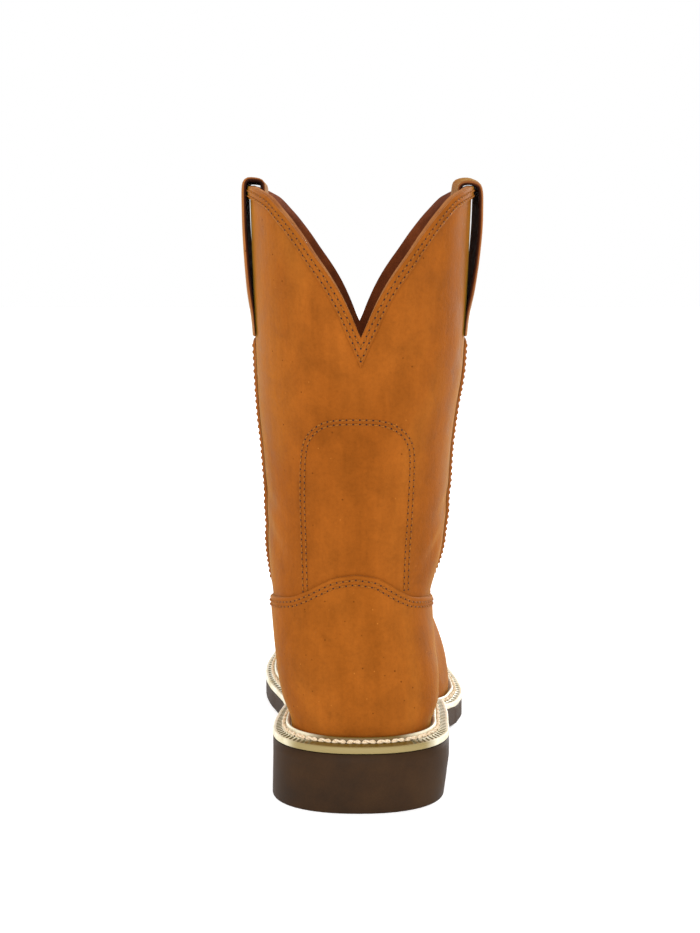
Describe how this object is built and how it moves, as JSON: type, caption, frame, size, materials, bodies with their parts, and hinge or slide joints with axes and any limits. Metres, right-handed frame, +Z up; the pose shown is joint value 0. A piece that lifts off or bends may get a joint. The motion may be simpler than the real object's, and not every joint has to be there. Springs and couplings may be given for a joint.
{
  "type": "western work boot",
  "caption": "Pull-on western work boot for the right foot: hollow leather shaft and foot with a scalloped collar, pull straps, a stitched welt and a rubber sole with a low heel.",
  "frame": {"origin": "on the floor under the middle of the heel, at the heel's flat bottom face", "axes": "+X to the outer side of the right foot, +Y to the toe, +Z up"},
  "size_m": [0.1094, 0.298, 0.2774],
  "materials": {
    "tan_leather": "oiled nubuck, matt, mottled tan",
    "strap_leather": "dark brown suede",
    "welt": "satin cream with white stitching",
    "insole": "matt",
    "sole_rubber": "matt dark brown"
  },
  "bodies": {
    "root": {"upper": "tan_leather", "vamp": "tan_leather", "heel_counter": "tan_leather", "collar_binding": "tan_leather", "side_seam_lateral": "tan_leather", "side_seam_medial": "tan_leather", "pull_strap_lateral": "strap_leather", "pull_strap_medial": "strap_leather", "welt": "welt", "insole": "insole", "outsole": "sole_rubber", "heel": "sole_rubber"}
  },
  "joints": []
}
